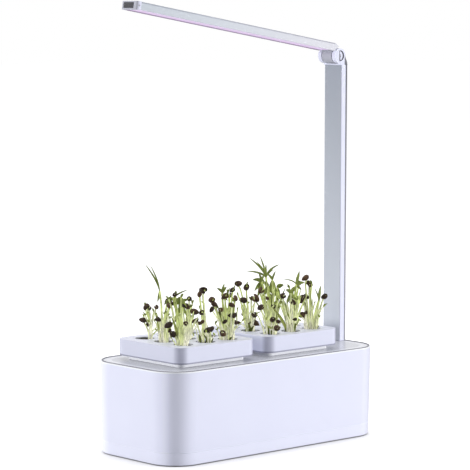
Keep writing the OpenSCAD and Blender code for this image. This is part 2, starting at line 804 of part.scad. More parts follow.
outer_casing();
bottom_cover();
rubber_feet();
bottom_screws();
water_tank();
lid();
lid_seal();
mast_socket();
socket_screws();
socket_contacts();
inlet_jack();
inlet_nut();
inlet_pin();
power_board();
mast_tube();
mast_strip();
mast_rear_trim();
mast_plug();
mast_screws();
mast_contacts();
mast_head();
hinge_pin();
hinge_caps();
hinge_washers();
lamp_knuckle();
knuckle_screws();
lamp_housing();
led_board();
red_leds();
blue_leds();
white_leds();
diffuser();
end_cap();
end_cap_screws();
key_light();
key_switch();
lamp_key();
tray_left();
basket_left();
sponges_left();
sprouts_left();
tray_right();
basket_right();
sponges_right();
sprouts_right();
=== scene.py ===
import math
import random

import bmesh
import bpy
from mathutils import Matrix, Vector, noise


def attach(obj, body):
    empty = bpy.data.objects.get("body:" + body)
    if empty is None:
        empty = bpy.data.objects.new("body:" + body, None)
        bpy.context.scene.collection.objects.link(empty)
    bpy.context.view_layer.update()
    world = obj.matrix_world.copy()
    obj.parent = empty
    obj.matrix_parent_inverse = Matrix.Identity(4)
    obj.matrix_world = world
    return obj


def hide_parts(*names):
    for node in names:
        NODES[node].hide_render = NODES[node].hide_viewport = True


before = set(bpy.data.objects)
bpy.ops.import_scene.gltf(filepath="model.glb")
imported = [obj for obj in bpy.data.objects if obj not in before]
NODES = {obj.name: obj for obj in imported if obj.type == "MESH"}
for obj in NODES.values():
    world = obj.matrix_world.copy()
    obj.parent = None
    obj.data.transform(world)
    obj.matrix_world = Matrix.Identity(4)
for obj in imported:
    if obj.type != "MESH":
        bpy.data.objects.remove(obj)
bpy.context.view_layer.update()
MM = 0.001

# ---- Sizes, in millimetres, as in the frame -----------------------------------

BASE_L, BASE_W, BASE_H, CORNER_R = 268.0, 120.0, 85.5, 30.0
TRAY_TOP = 105.0
TRAY_X = {"left": -65.35, "right": 42.15}
HOLE_PITCH = 27.0
SPONGE_TOP = TRAY_TOP - 0.6
STEM_R, SEED_L = 1.1, 7.4
HINGE_X, HINGE_Z, TILT = 121.0, 362.5, math.radians(9)
BARREL_R, LAMP_HIGH = 7.2, 11.2
SIDES = ("left", "right")

# seeds of the random draws
SPONGE_SEED = {"left": 7, "right": 11}
PLANT_SEED = {"left": 23, "right": 41}
DARK_SEED = {"left": 5, "right": 6}

# level directions: across the photograph, and away from its camera
LAT = (math.cos(math.radians(-42.5)), math.sin(math.radians(-42.5)))
DEEP = (math.sin(math.radians(42.5)), math.cos(math.radians(42.5)))
LAT_V, DEEP_V = Vector((*LAT, 0)), Vector((*DEEP, 0))


# ---- Camera and studio, in metres ---------------------------------------------

# the camera is fitted to about thirty edges of the photograph
CAMERA_PLACE = (-1.44503, -1.57502, 0.40650)
CAMERA_YAW, CAMERA_PITCH, CAMERA_ROLL = 47.571, 5.614, 0.148
LENS, SENSOR = 175.75, 36.0
HALF_PIXEL = 0.5 / 470

AMBIENT_COLOUR, AMBIENT_POWER = (0.97, 0.98, 1.0, 1), 0.46
FLOOR_REACH, FLOOR_COLOUR, FLOOR_GLOW = 12.0, (0.55, 0.55, 0.57, 1), 0.76
CONTACT_REACH = 0.07

# name, place, aim, size and power; each long face is lit from beyond its far end, so the
# rounded corner between falls darker
SOFTBOXES = (
    ("left_softbox", (-2.2, 2.0, 0.34), (0, 0, 0.2), (1.1, 0.66), 64),
    ("right_softbox", (2.0, -2.2, 0.34), (0, 0, 0.2), (1.1, 0.66), 66),
    ("top_softbox", (0.2, 0.2, 2.6), (0, 0, 0), (1.8, 1.8), 42),
)


def add_object(name, data):
    ob = bpy.data.objects.new(name, data)
    bpy.context.scene.collection.objects.link(ob)
    return ob


def camera():
    yaw, pitch, roll = map(math.radians, (CAMERA_YAW, CAMERA_PITCH, CAMERA_ROLL))
    right = Vector((math.sin(yaw), -math.cos(yaw), 0.0))
    ahead = Vector((math.cos(yaw) * math.cos(pitch), math.sin(yaw) * math.cos(pitch),
                    -math.sin(pitch)))
    up = right.cross(ahead)
    across = right * math.cos(roll) + up * math.sin(roll)
    over = up * math.cos(roll) - right * math.sin(roll)
    data = bpy.data.cameras.new("camera")
    data.lens = LENS
    data.sensor_width = SENSOR
    data.shift_x = HALF_PIXEL
    data.clip_start, data.clip_end = 0.05, 60.0
    cam = add_object("camera", data)
    m = Matrix((across, over, -ahead)).transposed().to_4x4()
    m.translation = Vector(CAMERA_PLACE)
    cam.matrix_world = m
    bpy.context.scene.camera = cam


def area_light(name, place, aim, size, power):
    data = bpy.data.lights.new(name, "AREA")
    data.shape = "RECTANGLE"
    data.size, data.size_y = size
    data.energy = power
    lamp = add_object(name, data)
    lamp.visible_glossy = False
    lamp.location = place
    lamp.rotation_euler = (Vector(aim) - Vector(place)).to_track_quat("-Z", "Y").to_euler()


class Graph:
    """The node tree of a material or a world, with short ways to add and join nodes.
    An input takes another node's output or a plain value."""

    def __init__(self, owner):
        owner.use_nodes = True
        self.owner = owner
        self.tree = owner.node_tree
        self.tree.nodes.clear()

    def add(self, kind, inputs=None, **settings):
        """New node; inputs gives what its inputs take, by name or by place."""
        node = self.tree.nodes.new(kind)
        for key, value in settings.items():
            setattr(node, key, value)
        for key, value in (inputs or {}).items():
            if isinstance(value, bpy.types.NodeSocket):
                self.tree.links.new(value, node.inputs[key])
            else:
                node.inputs[key].default_value = value
        return node

    def coord(self, kind="Object"):
        return self.add("ShaderNodeTexCoord").outputs[kind]

    def split(self, vector):
        return self.add("ShaderNodeSeparateXYZ", {0: vector}).outputs

    def tint(self):
        """The mesh's own value for each stem, hull or leaf."""
        return self.add("ShaderNodeAttribute", attribute_name="tint").outputs["Fac"]

    def math(self, operation, *values):
        return self.add("ShaderNodeMath", dict(enumerate(values)), operation=operation).outputs[0]

    def vector(self, operation, *values):
        node = self.add("ShaderNodeVectorMath", dict(enumerate(values)), operation=operation)
        return node.outputs["Value" if operation in ("LENGTH", "DOT_PRODUCT") else "Vector"]

    def radius(self, x, y):
        return self.vector("LENGTH", self.add("ShaderNodeCombineXYZ", {0: x, 1: y}).outputs[0])

    def mix(self, a, b, fac=1.0, blend="MULTIPLY"):
        node = self.add("ShaderNodeMix", {0: fac, 6: a, 7: b}, data_type="RGBA", blend_type=blend)
        return node.outputs[2]

    def ramp(self, fac, stops):
        """Colours along fac; a stop's colour is three values or a single grey."""
        node = self.add("ShaderNodeValToRGB", {0: fac})
        el = node.color_ramp.elements
        while len(el) < len(stops):
            el.new(0.5)
        for e, (at, colour) in zip(el, stops):
            e.position = at
            e.color = (*colour, 1) if isinstance(colour, tuple) else (colour, colour, colour, 1)
        return node.outputs[0]

    def noise(self, scale, detail=4, rough=0.6, vector=None):
        return self.add("ShaderNodeTexNoise", {
            "Scale": scale, "Detail": detail, "Roughness": rough,
            "Vector": self.coord() if vector is None else vector}).outputs["Fac"]

    def clouds(self, dark, light, scale=14.0):
        return self.ramp(self.noise(scale, 3), [(0.3, dark), (0.7, light)])

    def bump(self, height, strength, distance=0.0002):
        return self.add("ShaderNodeBump", {"Strength": strength, "Distance": distance,
                                           "Height": height}).outputs[0]

    def span(self, fac, low, high, to_low=0.0, to_high=1.0):
        """0 at low and 1 at high, or the two values given."""
        values = dict(enumerate((fac, low, high, to_low, to_high)))
        return self.add("ShaderNodeMapRange", values).outputs[0]

    def height(self, low, high):
        """0 at the height low and 1 at the height high, in metres."""
        return self.span(self.split(self.coord())["Z"], low, high)

    def output(self, shader):
        self.add("ShaderNodeOutputMaterial", {0: shader.outputs[0]})
        return self.owner

    def principled(self, **inputs):
        named = {key.replace("_", " "): value for key, value in inputs.items()}
        return self.output(self.add("ShaderNodeBsdfPrincipled", named))

    def satin(self, colour, gloss, grain=900.0, bump=0.03, detail=5, **inputs):
        """Shader with a fine texture; gloss is the range of its roughness."""
        fine = self.noise(grain, detail, 0.7)
        return self.principled(Base_Color=colour, Roughness=self.span(fine, 0.3, 0.7, *gloss),
                               Normal=self.bump(fine, bump), **inputs)


def material(name):
    return Graph(bpy.data.materials.new(name))


def studio():
    scene = bpy.context.scene
    scene.view_settings.view_transform = "Standard"
    scene.world = bpy.data.worlds.new("studio")
    g = Graph(scene.world)
    path = g.add("ShaderNodeLightPath").outputs
    ambient = g.add("ShaderNodeBackground", {"Color": AMBIENT_COLOUR, "Strength": AMBIENT_POWER})
    white = g.add("ShaderNodeBackground", {"Color": (1, 1, 1, 1), "Strength": 1.0})
    seen = g.math("MAXIMUM", path["Is Camera Ray"], path["Is Transmission Ray"])
    mirrored = g.math("MAXIMUM", seen, path["Is Glossy Ray"])
    both = g.add("ShaderNodeMixShader", {0: mirrored, 1: ambient.outputs[0], 2: white.outputs[0]})
    g.add("ShaderNodeOutputWorld", {0: both.outputs[0]})
    for softbox in SOFTBOXES:
        area_light(*softbox)


def floor():
    """White worktop that darkens only close to the part."""
    mesh = bpy.data.meshes.new("floor")
    s = FLOOR_REACH
    mesh.from_pydata([(-s, -s, 0), (s, -s, 0), (s, s, 0), (-s, s, 0)], [], [(0, 1, 2, 3)])
    ob = add_object("floor", mesh)
    g = material("floor")
    body = g.add("ShaderNodeBsdfDiffuse", {"Color": FLOOR_COLOUR})
    seen = g.math("MULTIPLY", g.add("ShaderNodeLightPath").outputs["Is Camera Ray"], FLOOR_GLOW)
    near = g.add("ShaderNodeAmbientOcclusion", {"Distance": CONTACT_REACH}).outputs["AO"]
    glow = g.add("ShaderNodeEmission", {"Strength": g.math("MULTIPLY", seen, near)})
    both = g.add("ShaderNodeAddShader", {0: body.outputs[0], 1: glow.outputs[0]})
    mesh.materials.append(g.output(both))


# ---- Mesh helpers -------------------------------------------------------------

# angles in degrees: an edge sharper than KEEN is rounded, and one sharper than CREASE stays
# sharp in the shading
FLAT, KEEN, CREASE = 0.6, 30.0, 38.0
BEVEL_STEPS = 2


def piece(name, verts, faces, materials, body, stands_for, smooth=None, face_mats=None,
          tints=None):
    """Mesh object made from millimetres that rides on a body."""
    mesh = bpy.data.meshes.new(name)
    mesh.from_pydata([tuple(c * MM for c in v) for v in verts], [], faces)
    if tints:
        mesh.attributes.new("tint", "FLOAT", "POINT").data.foreach_set("value", tints)
    for m in materials:
        mesh.materials.append(m)
    if face_mats:
        for poly, index in zip(mesh.polygons, face_mats):
            poly.material_index = index
    bm = bmesh.new()
    bm.from_mesh(mesh)
    bmesh.ops.remove_doubles(bm, verts=bm.verts, dist=1e-6)
    bmesh.ops.recalc_face_normals(bm, faces=bm.faces)
    bm.to_mesh(mesh)
    bm.free()
    mesh.shade_smooth()
    if smooth is not None:
        mesh.set_sharp_from_angle(angle=math.radians(smooth))
    ob = add_object(name, mesh)
    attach(ob, body)
    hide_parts(*stands_for)
    return ob


def refine(name, node, body, mats, bevel, pick):
    """The frame node's own shape with rounded edges and smooth curves, to stand for it.
    pick gives a face's material."""
    mesh = NODES[node].data.copy()
    mesh.materials.clear()
    for m in mats:
        mesh.materials.append(m)
    bm = bmesh.new()
    bm.from_mesh(mesh)
    bmesh.ops.remove_doubles(bm, verts=bm.verts, dist=2e-6)
    bmesh.ops.dissolve_limit(bm, angle_limit=math.radians(FLAT), verts=bm.verts, edges=bm.edges)
    bmesh.ops.recalc_face_normals(bm, faces=bm.faces)
    for f in bm.faces:
        f.material_index = pick(f) if pick else 0
    keen = [e for e in bm.edges
            if e.is_manifold and e.calc_face_angle(0.0) > math.radians(KEEN)]
    bmesh.ops.bevel(bm, geom=keen, offset=bevel * MM, segments=BEVEL_STEPS, profile=0.5,
                    affect="EDGES", clamp_overlap=True, material=-1)
    bm.to_mesh(mesh)
    bm.free()
    if mesh.attributes.get("custom_normal"):
        mesh.attributes.remove(mesh.attributes["custom_normal"])
    mesh.shade_smooth()
    mesh.set_sharp_from_angle(angle=math.radians(CREASE))
    ob = add_object(name, mesh)
    flat = ob.modifiers.new("flat_faces", "WEIGHTED_NORMAL")
    flat.keep_sharp = True
    flat.weight = 100
    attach(ob, body)
    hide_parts(node)


# ---- Materials ------------------------------------------------------------------

BLACK, WHITE = (0, 0, 0), (1, 1, 1)

# darker and lighter tone of the casing, the trays and the lid, drawn as faint clouds
CASING_TONES = (0.745, 0.76, 0.895), (0.765, 0.78, 0.912)
TRAY_TONES = (0.69, 0.705, 0.83), (0.705, 0.72, 0.845)
LID_TONES = (0.318, 0.323, 0.363), (0.326, 0.331, 0.371)
# painted highlight and shade across the casing's rounded corners, from the end faces at 0 to the
# long faces at 1
CORNER_LIGHT_AND_SHADE = ((0.0, 1.0), (0.26, 1.07), (0.47, 1.16), (0.57, 1.13), (0.64, 1.06), (0.71, 1.0),
               (0.80, 0.96), (0.87, 0.97), (0.92, 1.01), (0.96, 1.04), (0.985, 1.04), (1.0, 1.0))
# painted shade on the corners towards the mast's end face, which is at 1
MAST_END_CORNER_SHADE = ((0.0, 1.0), (0.08, 0.99), (0.35, 0.88), (0.6, 0.85), (0.85, 0.93), (1.0, 1.0))
# height in millimetres, tone and tone of blue: painted shadow along the foot edge, the foot band a
# little lighter, a painted highlight on the seam above it against its shade, and a painted
# highlight along the rim
HEIGHT_LIGHT_AND_SHADE = ((1.15, 0.8, 0.8), (1.5, 1.04, 1.03), (11.2, 1.04, 1.03), (11.6, 1.09, 1.07),
               (12.6, 1.09, 1.07), (13.0, 1.0, 1.0), (84.35, 1.0, 1.0), (84.7, 1.25, 1.1))
# tone of the painted highlight along the lid's edge
LID_EDGE_HIGHLIGHT = (1.55, 1.55, 1.48)
# the dark line on the hinge's ears, painted shade round the pin's opening, and the painted light on
# the neck below a tray's skirt
EAR_LINE, NECK_PAINTED_LIGHT = (0.16, 0.16, 0.18, 1), (0.95, 0.96, 1.0, 1)
# heights in metres from the colours' first stop to their last: the painted shade up the mast's
# faces, the sprouts' stems, the painted shade line at the lower edge of a tray's skirt, and the
# painted light on the upper end of its neck, downwards
MAST_SHADE_RISE, STEM_RISE = (0.086, 0.353), (0.104, 0.150)
SKIRT_SHADE_SPAN, NECK_LIGHT_SPAN = (0.0880, 0.0930), (0.0896, 0.0893)
# the painted light on the lamp grows from its free end to the hinge, in metres
LAMP_LIGHT_RUN = (-0.13, 0.10)
# half the diodes' spacing and half the milky cover's width, in metres
LED_STEP, COVER_HALF = 0.00475, 0.0105


def mixed(a, b, t):
    return tuple(x + (y - x) * t for x, y in zip(a, b))


def surface(name, colour, rough=0.35, spread=0.04, grain=900.0, bump=0.04, **inputs):
    """Moulded or satin surface: faint clouding, fine texture and uneven gloss."""
    g = material(name)
    tone = g.clouds(mixed(colour, BLACK, spread), mixed(colour, WHITE, spread * 0.6))
    return g.satin(tone, (rough * 0.85, rough * 1.2), grain, bump, **inputs)


def casing_material():
    """Satin white with painted light and shade: a painted highlight along the rim, a painted shadow
    along the lower edge, and painted highlight and shade across the rounded corners, which keeps
    the darkest part of the corners narrow."""
    g = material("casing_white_body")
    facing = g.split(g.coord("Normal"))
    heights = [(z / BASE_H, (tone, tone, blue)) for z, tone, blue in HEIGHT_LIGHT_AND_SHADE]
    colour = g.clouds(*CASING_TONES)
    # painted highlight and shade across the corners, and painted light and shade by height
    for tone in (g.ramp(g.math("ABSOLUTE", facing["Y"]), CORNER_LIGHT_AND_SHADE),
                 g.ramp(facing["X"], MAST_END_CORNER_SHADE),
                 g.ramp(g.height(0.0, BASE_H * MM), heights)):
        colour = g.mix(colour, tone)
    return g.satin(colour, (0.28, 0.38), Specular_IOR_Level=0.45, Coat_Weight=0.25,
                   Coat_Roughness=0.12)


def lid_material():
    """Polished grey deck with a painted highlight along its edge and a faint painted glow that
    lifts its shade.
    """
    g = material("lid_grey")
    # distance outside the rectangle between the four corners' centres
    centre = ((BASE_L / 2 - CORNER_R) * MM, (BASE_W / 2 - CORNER_R) * MM, 1.0)
    beyond = g.vector("SUBTRACT", g.vector("ABSOLUTE", g.coord()), centre)
    out = g.vector("LENGTH", g.vector("MAXIMUM", beyond, (0.0, 0.0, 0.0)))
    edge_highlight = g.ramp(g.span(out, 0.0, CORNER_R * MM), [(0.62, 1.0), (0.70, LID_EDGE_HIGHLIGHT)])
    # the paler edge is a painted highlight, and the emission is a faint painted glow that lifts the
    # lid's shade
    return g.satin(g.mix(g.clouds(*LID_TONES), edge_highlight), (0.20, 0.29), grain=600.0, bump=0.002,
                   Specular_IOR_Level=0.5, Emission_Color=(0.90, 0.92, 1.0, 1),
                   Emission_Strength=0.17)


def band(*places):
    """Stops of a band that rises between the first two places and falls between the last two."""
    return list(zip(places, (0, 1, 1, 0)))


def ears_material():
    """Satin white; the mast's dark rear edge runs on up the head, and a fine dark line of painted
    shade follows the rear half of the pin's opening."""
    g = material("ears_white")
    place = g.split(g.coord())
    behind = g.math("SUBTRACT", place["X"], HINGE_X * MM)
    above = g.math("SUBTRACT", place["Z"], HINGE_Z * MM)
    # the rear edge's line, which fades out above the pin
    radius = g.radius(behind, g.math("MAXIMUM", above, 0.0))
    line = g.math("MULTIPLY", g.span(radius, (BARREL_R - 1.2) * MM, (BARREL_R - 0.8) * MM),
                  g.span(behind, 0.0, 0.003))
    rear = g.math("MULTIPLY", line, g.span(above, 0.001, -0.002))
    # painted shade: the half ring round the pin, in parts of 10 mm, and the straight line that
    # closes it
    reach = g.radius(behind, above)
    ring = g.math("MULTIPLY", g.ramp(g.span(reach, 0.0, 0.010), band(0.43, 0.46, 0.52, 0.55)),
                  g.span(behind, -0.0002, 0.0))
    chord = g.math("MULTIPLY", g.ramp(g.span(behind, -0.002, 0.002), band(0.16, 0.24, 0.60, 0.68)),
                   g.span(reach, 0.0053, 0.0050))
    dark = g.math("MAXIMUM", rear, g.math("MAXIMUM", ring, chord))
    return g.satin(g.mix(g.clouds(*CASING_TONES), EAR_LINE, dark, "MIX"), (0.28, 0.38),
                   Specular_IOR_Level=0.45)


def tray_material(name, end_face_light):
    """Satin white with painted light and shade: a painted shade line along the skirt's lower edge,
    painted shade on the rounded corners, and painted light on the neck below the skirt. The second
    argument is the tone of painted light or shade on the end face away from the mast."""
    g = material(name)
    facing = g.split(g.coord("Normal"))
    skirt_edge_shade = g.ramp(g.height(*SKIRT_SHADE_SPAN), [(0.30, 1.0), (0.34, (0.44, 0.44, 0.48)),
                                                (0.56, (0.50, 0.50, 0.54)), (0.66, 1.0)])
    # painted shade: the rounded corners between two faces are greyer
    bend = g.math("ABSOLUTE", g.math("MULTIPLY", facing["X"], facing["Y"]))
    corner = g.ramp(g.span(bend, 0.0, 0.5), [(0.35, 1.0), (0.95, (0.72, 0.72, 0.75))])
    # painted light or shade on the end face away from the mast
    end = g.ramp(g.span(facing["X"], -1.0, 0.0), [(0.03, end_face_light), (0.15, 1.0)])
    colour = g.clouds(*TRAY_TONES)
    for tone in (skirt_edge_shade, corner, end):
        colour = g.mix(colour, tone)
    return g.satin(g.mix(colour, NECK_PAINTED_LIGHT, g.height(*NECK_LIGHT_SPAN), "MIX"), (0.31, 0.42),
                   Specular_IOR_Level=0.4)


def silver_material():
    """Lamp housing: satin, with painted light that grows towards the hinge and a painted shade line
    along its upper edge.
    """
    g = material("lamp_silver")
    place = g.coord()
    tone = g.ramp(g.span(g.split(place)["X"], *LAMP_LIGHT_RUN),
                  [(0.0, (0.57, 0.61, 0.66)), (0.45, (0.63, 0.66, 0.71)),
                   (1.0, (0.70, 0.70, 0.75))])
    # the painted shade line follows the upper face of the lamp at rest
    top = (HINGE_X * math.sin(TILT) + HINGE_Z * math.cos(TILT) + LAMP_HIGH) * MM
    over = g.vector("DOT_PRODUCT", place, (math.sin(TILT), 0, math.cos(TILT)))
    line = g.ramp(g.span(over, top - 0.0016, top - 0.0008), [(0.0, 1.0), (1.0, (0.52, 0.52, 0.56))])
    return g.satin(g.mix(tone, line), (0.40, 0.52), grain=1600.0, bump=0.04,
                   Specular_IOR_Level=0.3)


def mast_material(name, stops, gloss, **inputs):
    """Colours up the mast, from its foot at 0 to the hinge at 1; their darkening towards the hinge
    is painted shade.
    """
    g = material(name)
    return g.satin(g.ramp(g.height(*MAST_SHADE_RISE), stops), gloss, **inputs)


def diffuser_material():
    """Milky cover, lit in pink by the diodes behind it; its far edge is darkened with painted
    shade.
    """
    g = material("diffuser_clear")
    place = g.split(g.coord())
    # painted shade darkens the cover towards its far edge
    across = g.span(place["Y"], -COVER_HALF, COVER_HALF)
    tone = g.ramp(across, [(0.0, (0.86, 0.80, 0.92)), (0.60, (0.84, 0.72, 0.92)),
                           (0.85, (0.40, 0.22, 0.46)), (1.0, (0.34, 0.18, 0.40))])
    # bright patches where the diodes shine through
    wave = g.span(g.math("PINGPONG", place["X"], LED_STEP), 0.0, LED_STEP)
    glow = g.ramp(wave, [(0.0, (1.0, 0.60, 1.0)), (0.5, (0.80, 0.42, 0.92)),
                         (1.0, (0.66, 0.32, 0.85))])
    return g.principled(Base_Color=g.mix(tone, g.clouds(0.93, 1.0, 60.0)), Roughness=0.35,
                        Emission_Color=glow,
                        Emission_Strength=g.span(across, 0.5, 0.85, 0.30, 0.03),
                        Normal=g.bump(g.noise(900.0), 0.05))


def led_material(name, glow, strength):
    g = material(name)
    speck = g.noise(700.0)
    base = g.ramp(speck, [(0.3, mixed(glow, WHITE, 0.25)), (0.7, mixed(glow, WHITE, 0.5))])
    light = g.ramp(speck, [(0.3, glow), (0.7, mixed(glow, WHITE, 0.2))])
    return g.principled(Base_Color=base, Roughness=0.2, Emission_Color=light,
                        Emission_Strength=strength)


def sponge_material():
    g = material("sponge_brown")
    pores = g.add("ShaderNodeTexVoronoi", {"Scale": 620.0, "Vector": g.coord()})
    both = g.math("MULTIPLY", pores.outputs["Distance"], g.noise(260.0, 6, 0.7))
    colour = g.ramp(both, [(0.08, (0.008, 0.007, 0.006)), (0.25, (0.030, 0.024, 0.018)),
                           (0.5, (0.09, 0.07, 0.05))])
    return g.principled(Base_Color=colour, Roughness=0.9, Specular_IOR_Level=0.2,
                        Normal=g.bump(both, 0.9, 0.001))


def plant_material(name, low, high, rough, through_it, shine, streak):
    """Soft green tissue: paler low down, streaked, with light coming through it, and a painted
    glow.
    """
    g = material(name)
    up = g.math("ADD", g.height(*STEM_RISE), g.span(g.tint(), 0.0, 1.0, -0.25, 0.35))
    base = g.ramp(up, [(0.0, low), (0.45, mixed(low, high, 0.6)), (1.0, high)])
    along = g.add("ShaderNodeMapping", {"Scale": (1.0, 1.0, 0.12), "Vector": g.coord()})
    veins = g.noise(900.0, 5, 0.7, along.outputs[0])
    colour = g.mix(base, g.ramp(veins, [(0.38, 1 - streak), (0.60, 1.0)]))
    # the emission is a painted glow that stands in for light through the tissue
    solid = g.add("ShaderNodeBsdfPrincipled", {
        "Base Color": colour, "Roughness": rough, "Specular IOR Level": 0.3,
        "Emission Color": colour, "Emission Strength": shine,
        "Normal": g.bump(veins, 0.25, 0.0003)})
    through = g.add("ShaderNodeBsdfTranslucent", {"Color": colour})
    return g.output(g.add("ShaderNodeMixShader", {0: through_it, 1: solid.outputs[0],
                                                  2: through.outputs[0]}))


def hull_material():
    g = material("seed_hull")
    mottle = g.noise(420.0, 5, 0.65)
    shade = g.math("ADD", mottle, g.span(g.tint(), 0.0, 1.0, -0.18, 0.18))
    colour = g.ramp(shade, [(0.25, (0.012, 0.007, 0.004)), (0.5, (0.040, 0.021, 0.012)),
                            (0.75, (0.105, 0.058, 0.028)), (1.0, (0.26, 0.17, 0.09))])
    return g.principled(Base_Color=colour, Roughness=0.5, Specular_IOR_Level=0.3,
                        Normal=g.bump(mottle, 0.5, 0.0006))


M = {
    "white": surface("casing_white", (0.76, 0.775, 0.91), rough=0.32, spread=0.02, bump=0.03,
                     Specular_IOR_Level=0.45, Coat_Weight=0.25, Coat_Roughness=0.12),
    "tank": surface("tank_white", (0.84, 0.85, 0.88), rough=0.5, spread=0.03, bump=0.06),
    "seal": surface("seal_grey", (0.17, 0.17, 0.20), rough=0.5, spread=0.06, bump=0.1),
    "rubber": surface("rubber_dark", (0.06, 0.06, 0.07), rough=0.75, spread=0.2, bump=0.2),
    "steel": surface("screw_steel", (0.60, 0.60, 0.62), rough=0.3, spread=0.08, grain=1400.0,
                     bump=0.05, Metallic=1.0),
    "socket": surface("socket_steel", (0.55, 0.56, 0.58), rough=0.38, spread=0.06, bump=0.08,
                      Metallic=1.0),
    "brass": surface("contact_brass", (0.80, 0.62, 0.28), rough=0.28, spread=0.08, bump=0.04,
                     Metallic=1.0),
    "black": surface("black_plastic", (0.03, 0.03, 0.035), rough=0.5, spread=0.2, bump=0.15),
    "board": surface("board_green", (0.03, 0.20, 0.10), rough=0.4, spread=0.2, grain=400.0,
                     bump=0.1),
    "led_board": surface("board_white", (0.80, 0.80, 0.78), rough=0.45, spread=0.05, bump=0.04),
    # painted pink light and shade for the housing's far lower edge
    "lip": surface("lamp_lip", (0.20, 0.05, 0.26), rough=0.5, spread=0.06, bump=0.05),
    "knuckle": surface("knuckle_grey", (0.45, 0.46, 0.52), rough=0.4, spread=0.05, bump=0.06),
    "key": surface("key_dark", (0.02, 0.02, 0.026), rough=0.25, spread=0.15, bump=0.02,
                   Specular_IOR_Level=0.25),
    "casing": casing_material(),
    "ears": ears_material(),
    "lid": lid_material(),
    # painted shade on the left tray's end face, painted light on the right tray's
    "tray_left": tray_material("tray_white_left", 0.90),
    "tray_right": tray_material("tray_white_right", 1.25),
    "silver": silver_material(),
    # the trim and the strip darken up the mast with painted shade
    "trim": mast_material("trim_dark", [(0.0, (0.36, 0.36, 0.40)), (0.6, (0.26, 0.26, 0.29)),
                                        (1.0, (0.13, 0.13, 0.15))], (0.36, 0.48), bump=0.06),
    "strip": mast_material("strip_grey", [(0.0, (0.60, 0.63, 0.70)), (0.35, (0.52, 0.55, 0.61)),
                                          (0.75, (0.40, 0.43, 0.48)), (1.0, (0.34, 0.37, 0.42))],
                           (0.28, 0.42), grain=1200.0, bump=0.04, detail=4, IOR=1.45),
    "diffuser": diffuser_material(),
    "red": led_material("led_red", (1.0, 0.12, 0.22), 1.2),
    "blue": led_material("led_blue", (0.20, 0.22, 1.0), 1.2),
    "led_white": led_material("led_white", (0.85, 0.85, 0.92), 0.6),
    "sponge": sponge_material(),
    "stem": plant_material("sprout_stem", (0.99, 0.98, 0.84), (0.68, 0.765, 0.28), 0.42, 0.4, 0.54,
                           0.66),
    "leaf": plant_material("sprout_leaf", (0.60, 0.66, 0.20), (0.31, 0.38, 0.10), 0.5, 0.3, 0.12,
                           0.55),
    # dark leaves that stand in for the shade low among the stems: painted shade
    "shade": plant_material("sprout_shade", (0.22, 0.26, 0.06), (0.10, 0.13, 0.03), 0.5, 0.3, 0.05,
                            0.4),
    "hull": hull_material(),
}


# ---- Casing, lid, mast and lamp ---------------------------------------------------

def cap_face(f):
    """The end cap's outer face is grey round the key."""
    return 1 if f.normal.x < -0.7 else 0


def housing_face(f):
    """The housing's lower edge on the far side takes painted pink light and shade."""
    return 1 if f.normal.z < -0.6 and f.calc_center_median().y > 0.006 else 0


# piece, node, body, materials, slot, edge radius and the choice of a face's material
HARD = (
    ("casing_shell", "outer_casing", "base", ["casing"], "casing_white", 0.45, None),
    ("foot_band", "bottom_cover", "base", ["casing"], "casing_white", 0.35, None),
    ("lid_deck", "lid", "base", ["lid"], "lid_grey", 0.4, None),
    ("jack_barrel", "inlet_jack", "base", ["black"], "black_plastic", 0.3, None),
    ("mast_body", "mast_tube", "mast", ["white"], "casing_white", 0.2, None),
    ("mast_face", "mast_strip", "mast", ["strip"], "strip_grey", 0.15, None),
    ("mast_edge", "mast_rear_trim", "mast", ["trim"], "trim_dark", 0.25, None),
    ("mast_ears", "mast_head", "mast", ["ears"], "casing_white", 0.4, None),
    ("ear_caps", "hinge_caps", "mast", ["ears"], "casing_white", 0.3, None),
    ("lamp_neck", "lamp_knuckle", "lamp", ["knuckle"], "knuckle_grey", 0.3, None),
    ("lamp_shell", "lamp_housing", "lamp", ["silver", "lip"], "lamp_silver", 0.4, housing_face),
    ("lamp_cover", "diffuser", "lamp", ["diffuser"], "diffuser_clear", 0.2, None),
    ("lamp_cap", "end_cap", "lamp", ["white", "knuckle"], "casing_white", 0.35, cap_face),
    ("key_cap", "lamp_key", "key", ["key"], "key_dark", 0.3, None),
    ("tray_shell_left", "tray_left", "left_tray", ["tray_left"], "casing_white", 0.5, None),
    ("tray_shell_right", "tray_right", "right_tray", ["tray_right"], "casing_white", 0.5, None),
    ("root_basket_left", "basket_left", "left_tray", ["tank"], "tank_white", 0.3, None),
    ("root_basket_right", "basket_right", "right_tray", ["tank"], "tank_white", 0.3, None),
)
for name, node, body, mats, slot, radius, pick in HARD:
    refine(name, node, body, [M[m] for m in mats], radius, pick)

# frame nodes that keep their own shape, and their materials
PAINTED = {
    "rubber_feet": "rubber", "bottom_screws": "steel", "water_tank": "tank", "lid_seal": "seal",
    "mast_socket": "socket", "socket_screws": "steel", "socket_contacts": "brass",
    "inlet_nut": "socket", "inlet_pin": "brass", "power_board": "board", "mast_plug": "socket",
    "mast_screws": "steel", "mast_contacts": "brass", "hinge_pin": "steel",
    "hinge_washers": "rubber", "knuckle_screws": "steel", "led_board": "led_board",
    "red_leds": "red", "blue_leds": "blue", "white_leds": "led_white", "end_cap_screws": "steel",
    "key_light": "knuckle", "key_switch": "black",
}
for node, mat in PAINTED.items():
    mats = NODES[node].data.materials
    mats.clear()
    mats.append(M[mat])


# ---- Sponges --------------------------------------------------------------------

SPONGE_SEG = 28
# radius and height along a sponge, from the middle of its base to the middle of its top
SPONGE_PATH = ((0.0, 92.0), (4.0, 92.0), (7.9, 92.0), (8.5, 92.6), (8.6, 96.0), (8.6, 101.0),
               (8.5, 103.5), (8.0, 104.1), (7.0, 104.3), (5.4, 104.3), (3.6, 104.3), (1.8, 104.3),
               (0.0, 104.3))


